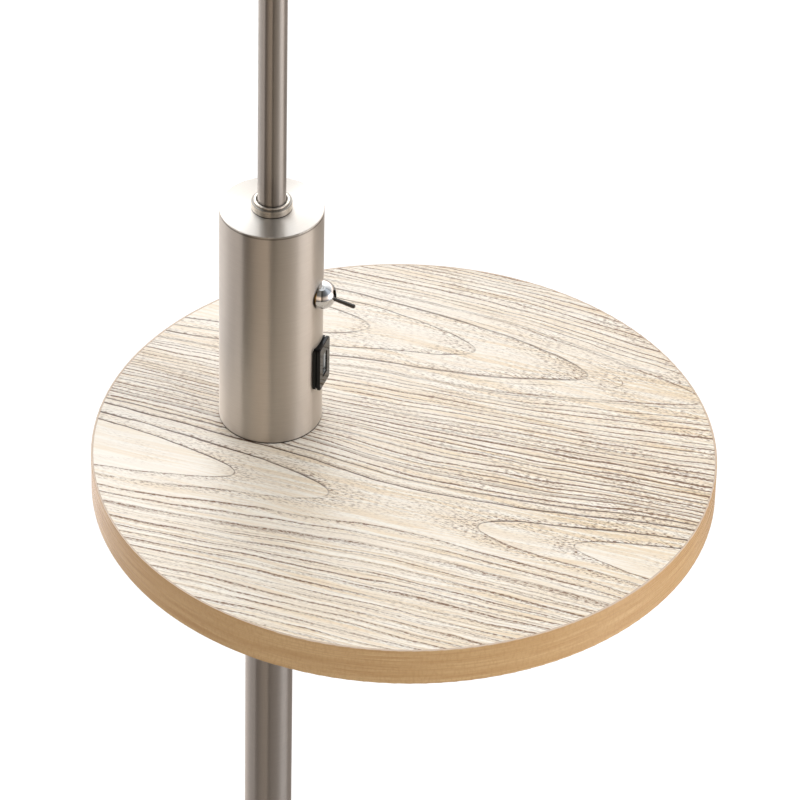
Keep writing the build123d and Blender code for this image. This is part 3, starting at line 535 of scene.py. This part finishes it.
# Cloth
def linen_cloth(finish, thread):
    """Plain-woven linen laminated on a clear sheet."""
    # Slubby natural threads over and under each other, with no shine.
    spacing = thread * TO_MM
    slub_length = 22 * spacing
    weave_depth = 0.15
    material, tree, shader = new_material(
        "linen_plain_woven", Roughness=0.92, Sheen_Weight=0.25, Sheen_Roughness=0.6, Specular_IOR_Level=0.2)
    angle, radius, level = round_axis(tree)
    run = put(tree, "Math", (angle, radius), operation="MULTIPLY")
    waves = []
    slubs = []
    for step, cross in ((run, level), (level, run)):
        slubs.append(drawn_out(tree, step, cross, (spacing, slub_length), 2.0))
        turns = put(tree, "Math", (step, 2 * math.pi / spacing), operation="MULTIPLY")
        wave = put(tree, "Math", (turns,), operation="SINE")
        waves.append(put(tree, "Math", (wave, 0.3, 0.5), operation="MULTIPLY_ADD"))
    weave = put(tree, "Math", waves, operation="MULTIPLY")
    slub = put(tree, "Math", slubs, operation="ADD")
    slub = put(tree, "MapRange", {0: slub, 1: 0.7, 2: 1.3})
    gaps = put(tree, "MapRange", {0: weave, 1: 0.05, 2: 0.45, 3: 1.0, 4: 0.0})
    shade = put(tree, "Math", (slub, gaps), operation="MULTIPLY")
    shade = put(tree, "Math", (shade, slub), operation="ADD")
    shade = put(tree, "Math", (shade, 0.55), operation="MULTIPLY")
    colour = put(tree, "Mix", {0: shade, 6: finish.linen, 7: finish.linen_thread}, output=2,
                 data_type="RGBA")
    bump = put(tree, "Bump", {"Strength": 0.5, "Distance": weave_depth * MM, "Height": weave})
    feed(tree, shader, Base_Color=colour, Normal=bump)
    return material


# Meshes
def new_piece(name, mesh_data, body, slot, *materials):
    """Object from a bmesh that rides on a body and takes the given finishes; the slot is not used."""
    mesh = bpy.data.meshes.new(name)
    mesh_data.to_mesh(mesh)
    mesh_data.free()
    for material in materials:
        mesh.materials.append(material)
    piece = bpy.data.objects.new(name, mesh)
    bpy.context.scene.collection.objects.link(piece)
    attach(piece, body)
    return piece


def lathe(outline):
    """Ring of faces from a closed outline of (radius, height) points."""
    made = bmesh.new()
    loops = []
    for turn in range(ROUND_STEPS):
        angle = 2 * math.pi * turn / ROUND_STEPS
        loops.append([made.verts.new((r * math.cos(angle), r * math.sin(angle), z)) for r, z in outline])
    for turn in range(ROUND_STEPS):
        here, there = loops[turn], loops[(turn + 1) % ROUND_STEPS]
        for place in range(len(outline)):
            after = (place + 1) % len(outline)
            face = made.faces.new((here[place], there[place], there[after], here[after]))
            face.smooth = True
    return made


def drum_sheet(shade):
    """Linen sheet rolled to a drum, its outer end lapped over its inner end at the back."""
    low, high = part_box("shade_drum")
    radius = high.y
    lap_step = -low.x - radius
    half_lap = shade.lap / radius / 2
    wrap = 2 * math.pi + 2 * half_lap
    rows = 24
    # Slight ripples, and the share of the sheet's thickness that is left under the lap
    ripple_depth = 0.08 * MM
    ripples_round, ripples_up = 5, 3
    lapped = 0.4
    made = bmesh.new()
    grid = []
    for column in range(ROUND_STEPS + 1):
        share = column / ROUND_STEPS
        angle = math.pi - half_lap + share * wrap
        over = (share - 1) * wrap + 2 * half_lap
        lift = lap_step * min(1.0, max(0.0, over / half_lap + 1))
        line = []
        for row in range(rows + 1):
            height = low.z + (high.z - low.z) * row / rows
            ripple = ripple_depth * math.sin(ripples_round * angle + ripples_up * math.pi * row / rows)
            outer = radius + lift - abs(ripple)
            inner = outer - shade.sheet * (lapped if over > -half_lap else 1.0)
            turn = (math.cos(angle), math.sin(angle))
            line.append([made.verts.new((turn[0] * r, turn[1] * r, height)) for r in (outer, inner)])
        grid.append(line)
    for column in range(ROUND_STEPS):
        here, there = grid[column], grid[column + 1]
        for row in range(rows):
            corners = (here[row], there[row], there[row + 1], here[row + 1])
            made.faces.new([corner[0] for corner in corners]).smooth = True
            lining = made.faces.new([corner[1] for corner in reversed(corners)])
            lining.smooth = True
            lining.material_index = 1
        for row, order in ((0, -1), (rows, 1)):
            rim = [here[row][0], there[row][0], there[row][1], here[row][1]]
            made.faces.new(rim[::order])
    for line, order in ((grid[0], -1), (grid[-1], 1)):
        for row in range(rows):
            end = [line[row][0], line[row][1], line[row + 1][1], line[row + 1][0]]
            made.faces.new(end[::order])
    return made


def hem_tape(node, shade):
    """Tape folded over an end of the drum and its wire, rounded at the fold."""
    low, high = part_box(node)
    thick = 0.5 * MM
    fold = 1.6 * MM
    tuck = 3.4 * MM
    depth = 5.9 * MM
    rounding = [(fold * (1 - math.cos(angle)), fold * (1 - math.sin(angle)))
                for angle in (0.4, 0.8, 1.2, math.pi / 2)]
    # How far each point lies within the tape's outside, and from its folded end
    outer = [(0.0, shade.hem), (0.0, fold), *rounding, (depth - fold, 0.0), (depth, fold), (depth, tuck)]
    inner = [(depth - thick, tuck), (depth - thick, fold), (depth - fold, thick), (fold, thick),
             (thick, fold), (thick, shade.hem)]
    upward = high.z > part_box("shade_drum")[1].z
    end, sign = (high.z, -1.0) if upward else (low.z, 1.0)
    made = lathe([(high.y - inset, end + sign * rise) for inset, rise in outer + inner])
    bmesh.ops.recalc_face_normals(made, faces=made.faces)
    return made


# Operators
class LAMP_OT_metalwork(bpy.types.Operator):
    """Brush the nickel of the foot, the poles, the housing and the collar"""

    bl_idname = "lamp.metalwork"
    bl_label = "Brushed Metalwork"

    def execute(self, context):
        finish = context.scene.lamp_finish
        # How far below the top the painted shade line under the rim lies, in mm
        rim_shade_line_drop = 1.0
        turned = brushed_nickel("nickel_plate_brushed", finish.nickel, 0.27, 0.36)
        dress(turned, "base_cover", "base_hub", "socket_cup", "tray_flange")
        low, high = (corner.z * TO_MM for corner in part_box("neck_collar"))
        # Painted contact shadow at the collar's foot, and a painted shade line under its lip
        painted_shade_lines = ((low, 0.7, 0.08), (high - rim_shade_line_drop, 0.3, 0.35))
        collar = brushed_nickel("nickel_plate_brushed_ring", finish.collar, 0.24, 0.32, painted_shade_lines)
        dress(collar, "neck_collar")
        low, high = (corner.z * TO_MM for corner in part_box("housing_shell"))
        # Painted contact shadow at the housing's foot, and a painted shade line under its rim
        painted_shade_lines = ((low, 1.0, 0.12), (high - rim_shade_line_drop, 0.6, 0.5))
        drawn = brushed_nickel("nickel_plate_brushed_cup", finish.nickel, 0.33, 0.39, painted_shade_lines)
        dress(drawn, "housing_shell")
        tube = brushed_nickel("nickel_plate_satin_tube", finish.tube, 0.3, 0.38)
        dress(tube, "lower_pole", "upper_pole")
        return {"FINISHED"}


class LAMP_OT_foot(bpy.types.Operator):
    """Finish the weight, the pad and the gland of the foot"""

    bl_idname = "lamp.foot"
    bl_label = "Foot"

    def execute(self, context):
        # Grey iron as cast: dark and sandy.
        dress(plain_metal("iron_cast", "#4A4846", 0.62, 0.8), "base_weight")
        # Moulded rubber: dull black with a fine grain.
        dress(moulded("rubber_moulded", linear("#1B1B1C"), 0.75, 0.5, 0.08), "base_pad", "mains_gland")
        return {"FINISHED"}


class LAMP_OT_tray(bpy.types.Operator):
    """Print the wood of the tray and press its board"""

    bl_idname = "lamp.tray"
    bl_label = "Tray"

    def execute(self, context):
        finish = context.scene.lamp_finish
        dress(ash_laminate(finish, context.scene.lamp_grain), "tray_top_sheet", "tray_under_sheet")
        dress(edge_band(finish), "tray_edge_band")
        dress(fibre_board(), "tray_board")
        return {"FINISHED"}


class LAMP_OT_fixings(bpy.types.Operator):
    """Plate the screws, pipes, nuts, washers and inserts"""

    bl_idname = "lamp.fixings"
    bl_label = "Fixings"

    def execute(self, context):
        # Bright zinc plate on steel: cool grey with a soft grain.
        zinc = plain_metal("zinc_plate_bright", "#B9BCBF", 0.34, 1.2)
        dress(zinc, "tray_screws", "switch_nut", "bulb_cap", "base_pipe", "base_washer", "base_nut",
              "lower_pole_foot_insert", "lower_pole_head_insert", "tray_pipe", "tray_washer", "tray_nut",
              "housing_cross_bar", "neck_pipe", "neck_washer", "neck_nut", "upper_pole_foot_insert",
              "upper_pole_head_insert", "socket_stud")
        return {"FINISHED"}


class LAMP_OT_switch(bpy.types.Operator):
    """Finish the toggle switch"""

    bl_idname = "lamp.switch"
    bl_label = "Toggle Switch"

    def execute(self, context):
        finish = context.scene.lamp_finish
        dress(polished_chrome("chromium_plate_polished", finish.chrome), "switch_dome")
        dress(polished_chrome("chromium_plate_black", finish.black_chrome), "switch_lever")
        # Turned brass: warm yellow with a soft gloss.
        dress(plain_metal("brass_turned", "#C9A65A", 0.3, 0.9), "switch_lugs", "switch_bushing")
        # Moulded phenolic: brown-black and satin.
        dress(moulded("phenolic_moulded", linear("#17120F"), 0.4, 0.6, 0.03), "switch_body")
        return {"FINISHED"}


class LAMP_OT_port(bpy.types.Operator):
    """Finish the charging port and what feeds it"""

    bl_idname = "lamp.port"
    bl_label = "Charging Port"

    def execute(self, context):
        finish = context.scene.lamp_finish
        # Gloss moulded ABS: black with sharp reflections.
        gloss = moulded("abs_moulded_gloss", finish.black, 0.08, 1.6, 0.003, IOR=1.53,
                        Specular_IOR_Level=0.2)
        dress(gloss, "port_bezel")
        # Folded tin-plated steel: bright and cool.
        dress(plain_metal("tin_plate_folded", "#C8CACC", 0.22, 0.7), "port_shell")
        # Moulded nylon: off-white and satin.
        dress(moulded("nylon_moulded", linear("#E9E8E4"), 0.4, 0.4, 0.01), "port_tongue")
        # Woven glass board under lacquer: green, with a fine weave.
        dress(moulded("glass_board_lacquered", linear("#1F5A34"), 0.3, 0.35, 0.02), "port_board")
        # Moulded polycarbonate: near black and dull.
        dress(moulded("polycarbonate_moulded", linear("#202122"), 0.5, 0.4, 0.02), "converter_block")
        # Extruded vinyl: pale grey, smooth and dull.
        dress(moulded("vinyl_extruded", linear("#D9D7D2"), 0.55, 0.6, 0.01), "port_lead", "lamp_lead")
        # Stamped bronze under thin gold: bright yellow.
        dress(plain_metal("bronze_gilt_stamped", "#E3BE6A", 0.2, 0.4), "port_contacts")
        return {"FINISHED"}


class LAMP_OT_head(bpy.types.Operator):
    """Finish the lamp socket and the bulb"""

    bl_idname = "lamp.head"
    bl_label = "Socket and Bulb"

    def execute(self, context):
        # Moulded urea resin: white and satin.
        dress(moulded("urea_moulded", linear("#E8E7E2"), 0.38, 0.5, 0.02), "socket_body", "ring_nut")
        # Drawn brass: warm yellow with a soft gloss.
        dress(plain_metal("brass_drawn", "#C9A65A", 0.28, 0.8), "screw_shell", "socket_contact")
        # Moulded polycarbonate: white and satin.
        white = linear("#F1F0EB")
        dress(moulded("polycarbonate_white_moulded", white, 0.35, 0.8, 0.01), "bulb_body")
        # Blown opal polycarbonate: light scatters inside it, so it looks milky.
        opal = moulded("polycarbonate_opal_blown", white, 0.3, 1.4, 0.004, Subsurface_Weight=0.4,
                       Subsurface_Radius=(0.004, 0.004, 0.004))
        dress(opal, "bulb_globe")
        return {"FINISHED"}


class LAMP_OT_shade(bpy.types.Operator):
    """Stretch the linen shade over its wires"""

    bl_idname = "lamp.shade"
    bl_label = "Linen Shade"

    def execute(self, context):
        finish = context.scene.lamp_finish
        shade = context.scene.lamp_shade
        # Sprayed steel wire: white and satin.
        dress(moulded("steel_wire_sprayed", linear("#EDECE8"), 0.4, 0.5, 0.02),
              "shade_top_ring", "shade_spider")
        linen = linen_cloth(finish, shade.thread)
        # Clear styrene sheet behind the cloth: white from the cloth, and smooth.
        lining = moulded("styrene_sheet_laminated", linear("#F4F2EC"), 0.5, 3.0, 0.01)
        drum = new_piece("linen_drum", drum_sheet(shade), STAND, "linen", linen, lining)
        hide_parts("shade_drum")
        for name, node in (("linen_top_hem", "shade_top_hem"), ("linen_bottom_hem", "shade_bottom_hem")):
            hem = new_piece(name, hem_tape(node, shade), STAND, "linen", linen)
            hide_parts(node)
        return {"FINISHED"}


class LAMP_OT_stage(bpy.types.Operator):
    """Set the floor, the light and the camera"""

    bl_idname = "lamp.stage"
    bl_label = "Stage"

    def execute(self, context):
        stage = context.scene.lamp_stage
        context.scene.view_settings.view_transform = "Standard"
        lay_floor()
        light_world(context.scene, stage)
        hang_lights()
        raise_curtain(stage)
        aim_camera(context.scene, stage)
        return {"FINISHED"}


# Stage
def bare_tree(owner, kind):
    """Empty node tree of a material or a world, and its surface socket."""
    owner.use_nodes = True
    tree = owner.node_tree
    tree.nodes.clear()
    return tree, tree.nodes.new("ShaderNodeOutput" + kind).inputs["Surface"]


def seen_directly(tree):
    """One for rays of the camera, of mirrors and of glass, and zero for light on the lamp."""
    paths = put(tree, "LightPath").node.outputs
    mirror = put(tree, "Math", (paths["Is Glossy Ray"], paths["Is Transmission Ray"]), operation="MAXIMUM")
    return put(tree, "Math", (paths["Is Camera Ray"], mirror), operation="MAXIMUM")


def flat_mesh(name, corners, faces):
    """Stage object from points and faces."""
    mesh = bpy.data.meshes.new(name)
    mesh.from_pydata(corners, [], faces)
    made = bpy.data.objects.new(name, mesh)
    bpy.context.scene.collection.objects.link(made)
    return made


def lay_floor():
    """Pale floor that reads white and keeps the lamp's shadow."""
    reach = 60.0
    level = -0.3 * MM
    lift = 0.48
    corners = [(x * reach, y * reach, level) for x, y in ((-1, -1), (1, -1), (1, 1), (-1, 1))]
    floor = flat_mesh("floor", corners, [(0, 1, 2, 3)])
    material = bpy.data.materials.new("paint_matt_pale")
    tree, surface = bare_tree(material, "Material")
    paint = put(tree, "BsdfDiffuse", (linear("#CDCDCD"),))
    strength = put(tree, "Math", (seen_directly(tree), lift), operation="MULTIPLY")
    glow = put(tree, "Emission", {"Strength": strength})
    tree.links.new(put(tree, "AddShader", (paint, glow)), surface)
    floor.data.materials.append(material)


def light_world(scene, stage):
    """Even soft light, white where it is seen."""
    scene.world = bpy.data.worlds.new("studio")
    tree, surface = bare_tree(scene.world, "World")
    strength = put(tree, "Mix", {0: seen_directly(tree), 2: stage.ambient, 3: 1.0})
    light = put(tree, "Background", {"Color": (1.0, 1.0, 1.0), "Strength": strength})
    tree.links.new(light, surface)


def hang_lights():
    """Three wide soft lights: one high at the back, one low at each side."""
    # Azimuth, elevation and width in degrees, and strength
    lights = {"back_light": (114.0, 40.0, 44.0, 0.7),
              "right_light": (8.0, 8.0, 60.0, 2.65),
              "left_light": (158.0, 6.0, 60.0, 1.0)}
    for name, (azimuth, elevation, width, strength) in lights.items():
        light = bpy.data.lights.new(name, "SUN")
        light.energy = strength
        light.angle = math.radians(width)
        holder = bpy.data.objects.new(name, light)
        turn, rise = math.radians(azimuth), math.radians(elevation)
        towards = Vector((math.cos(turn) * math.cos(rise), math.sin(turn) * math.cos(rise), math.sin(rise)))
        holder.rotation_mode = "QUATERNION"
        holder.rotation_quaternion = towards.to_track_quat("Z", "Y")
        holder.visible_glossy = False
        bpy.context.scene.collection.objects.link(holder)


def curtain_cloth(stage):
    """Cloth that glows in upright panels: pale at the sides, dark round the camera."""
    # Degrees to the right of the camera, brightness and warmth where two panels meet
    panels = ((-180, 0.50, -0.4), (-150, 0.48, -0.6), (-110, 0.66, -0.6), (-60, 0.74, -0.4),
              (-57, 0.15, 1.2), (-46, 0.12, 1.2), (-34, 0.30, 1.2), (-26, 0.42, 1.1), (-14, 0.47, 1.2),
              (-8, 0.56, 1.1), (-3, 0.40, 1.2), (1.5, 0.07, 1.2), (5, 0.05, 1.2), (10, 0.17, 1.0),
              (17, 0.25, 0.6), (36, 0.36, 0.0), (52, 0.66, -0.5), (62, 1.27, -0.9), (76, 1.45, -0.9),
              (88, 1.30, -0.7), (97, 0.48, -0.2), (112, 0.30, 0.1), (130, 0.24, 0.2), (180, 0.50, -0.4))
    brightest = 2.0
    # What warmth takes from green and from blue
    green_loss, blue_loss = 0.08, 0.18
    floor_grey = linear("#BFB2AA")
    # How much brighter its warm stretch is in red, green and blue, and its back high up
    warm_gain = (5.2, 4.3, 3.65)
    back_gain = 9.4
    floor_level = 5.0
    material = bpy.data.materials.new("curtain_cloth_woven")
    tree, surface = bare_tree(material, "Material")
    angle, _, height = round_axis(tree)
    offset = put(tree, "Math", (angle, stage.azimuth - math.pi / 2), operation="SUBTRACT")
    turns = put(tree, "Math", (offset, 1 / (2 * math.pi), 0.5), operation="MULTIPLY_ADD")
    turns = put(tree, "Math", (turns,), operation="FRACT")
    # What lies on the floor looks wider from the pole, because it is nearer
    spread = put(tree, "MapRange", {0: height, 1: floor_level, 2: 40.0, 3: 0.89})
    aside = put(tree, "Math", (turns, 0.5), operation="SUBTRACT")
    share = put(tree, "Math", (aside, spread, 0.5), operation="MULTIPLY_ADD")
    cloth = put(tree, "ValToRGB", (share,))
    stops = cloth.node.color_ramp.elements
    while len(stops) < len(panels):
        stops.new(0.5)
    for stop, (degrees, brightness, warmth) in zip(stops, panels):
        stop.position = degrees / 360 + 0.5
        level = brightness / brightest
        stop.color = (level, level * (1 - green_loss * warmth), level * (1 - blue_loss * warmth), 1.0)
    # It is brighter high up at the back, and low down at the back's left
    behind = put(tree, "Math", (aside,), operation="ABSOLUTE")
    behind = put(tree, "MapRange", {0: behind, 1: 0.26, 2: 0.36})
    high = put(tree, "MapRange", {0: height, 1: 740.0, 2: 1000.0})
    low = put(tree, "MapRange", {0: height, 1: floor_level, 2: 200.0, 3: 0.17, 4: 0.0})
    left = put(tree, "MapRange", {0: turns, 1: 0.1, 2: 0.24, 3: 1.0, 4: 0.0})
    low = put(tree, "Math", (low, left), operation="MULTIPLY")
    boost = put(tree, "Math", (behind, high, low), operation="MULTIPLY_ADD")
    boost = put(tree, "Math", (boost, back_gain * brightest, brightest), operation="MULTIPLY_ADD")
    rise = put(tree, "MapRange", {0: height, 1: floor_level, 2: 60.0, 3: 0.56, 4: 0.5})
    boost = put(tree, "Math", (boost, rise), operation="MULTIPLY")
    # On the floor its panels run into each other, and half way up they are warm and bright
    calm = put(tree, "MapRange", {0: height, 1: floor_level, 2: 40.0, 3: 0.72, 4: 0.0})
    cloth = put(tree, "Mix", {0: calm, 6: cloth, 7: floor_grey}, output=2, data_type="RGBA")
    warm = put(tree, "MapRange", {0: height, 1: 360.0, 2: 640.0})
    cool = put(tree, "Math", (1.0, high), operation="SUBTRACT")
    warm = put(tree, "Math", (warm, cool), operation="MULTIPLY")
    cloth = put(tree, "Mix", {0: warm, 6: cloth, 7: warm_gain}, output=2, data_type="RGBA",
                blend_type="MULTIPLY")
    tree.links.new(put(tree, "Emission", (cloth, boost)), surface)
    return material


def raise_curtain(stage):
    """Round curtain that only the metal mirrors."""
    inner, outer = 0.20, 0.85
    bottom, top = 4 * MM, 2.4
    count = 96
    outline = [(inner, bottom), (outer, bottom), (outer, top)]
    corners = []
    for turn in range(count):
        angle = 2 * math.pi * turn / count
        corners += [(r * math.cos(angle), r * math.sin(angle), z) for r, z in outline]
    steps = len(outline)
    faces = []
    for turn in range(count):
        here, there = turn * steps, (turn + 1) % count * steps
        faces += [(here + k, there + k, there + k + 1, here + k + 1) for k in range(steps - 1)]
    curtain = flat_mesh("curtain", corners, faces)
    for ray in ("camera", "diffuse", "transmission", "volume_scatter", "shadow"):
        setattr(curtain, "visible_" + ray, False)
    curtain.data.materials.append(curtain_cloth(stage))


def aim_camera(scene, stage):
    """Camera at the picture's viewing angle."""
    camera = bpy.data.objects.new("camera", bpy.data.cameras.new("camera"))
    scene.collection.objects.link(camera)
    camera.data.sensor_width = 36.0
    camera.data.lens = stage.lens
    camera.data.clip_end = 200.0
    turn, rise = stage.azimuth, stage.elevation
    back = Vector((math.sin(turn) * math.cos(rise), -math.cos(turn) * math.cos(rise), math.sin(rise)))
    camera.location = Vector(stage.aim) + back * stage.distance
    camera.rotation_mode = "QUATERNION"
    level = (-back).to_track_quat("-Z", "Y")
    camera.rotation_quaternion = level @ Quaternion((0.0, 0.0, 1.0), stage.roll)
    scene.camera = camera


# Add-on
class LAMP_PT_panel(bpy.types.Panel):
    """Panel that lists the lamp's operators"""

    bl_idname = "LAMP_PT_panel"
    bl_label = "Shelf Floor Lamp"
    bl_space_type = "VIEW_3D"
    bl_region_type = "UI"
    bl_category = "Lamp"

    def draw(self, context):
        for operator in operators:
            self.layout.operator(operator.bl_idname)


operators = (LAMP_OT_metalwork, LAMP_OT_foot, LAMP_OT_tray, LAMP_OT_fixings, LAMP_OT_switch,
             LAMP_OT_port, LAMP_OT_head, LAMP_OT_shade, LAMP_OT_stage)
groups = {"lamp_finish": LampFinish, "lamp_grain": LampGrain, "lamp_shade": LampShade,
          "lamp_stage": LampStage}
classes = (*groups.values(), *operators, LAMP_PT_panel)


def register():
    """Make the settings, the operators and the panel known."""
    for part in classes:
        bpy.utils.register_class(part)
    for name, group in groups.items():
        setattr(bpy.types.Scene, name, bpy.props.PointerProperty(type=group))


def unregister():
    """Take them away again."""
    for name in groups:
        delattr(bpy.types.Scene, name)
    for part in reversed(classes):
        bpy.utils.unregister_class(part)


def main():
    """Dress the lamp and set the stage."""
    register()
    for operator in operators:
        family, name = operator.bl_idname.split(".")
        getattr(getattr(bpy.ops, family), name)()


if __name__ == "__main__":
    main()
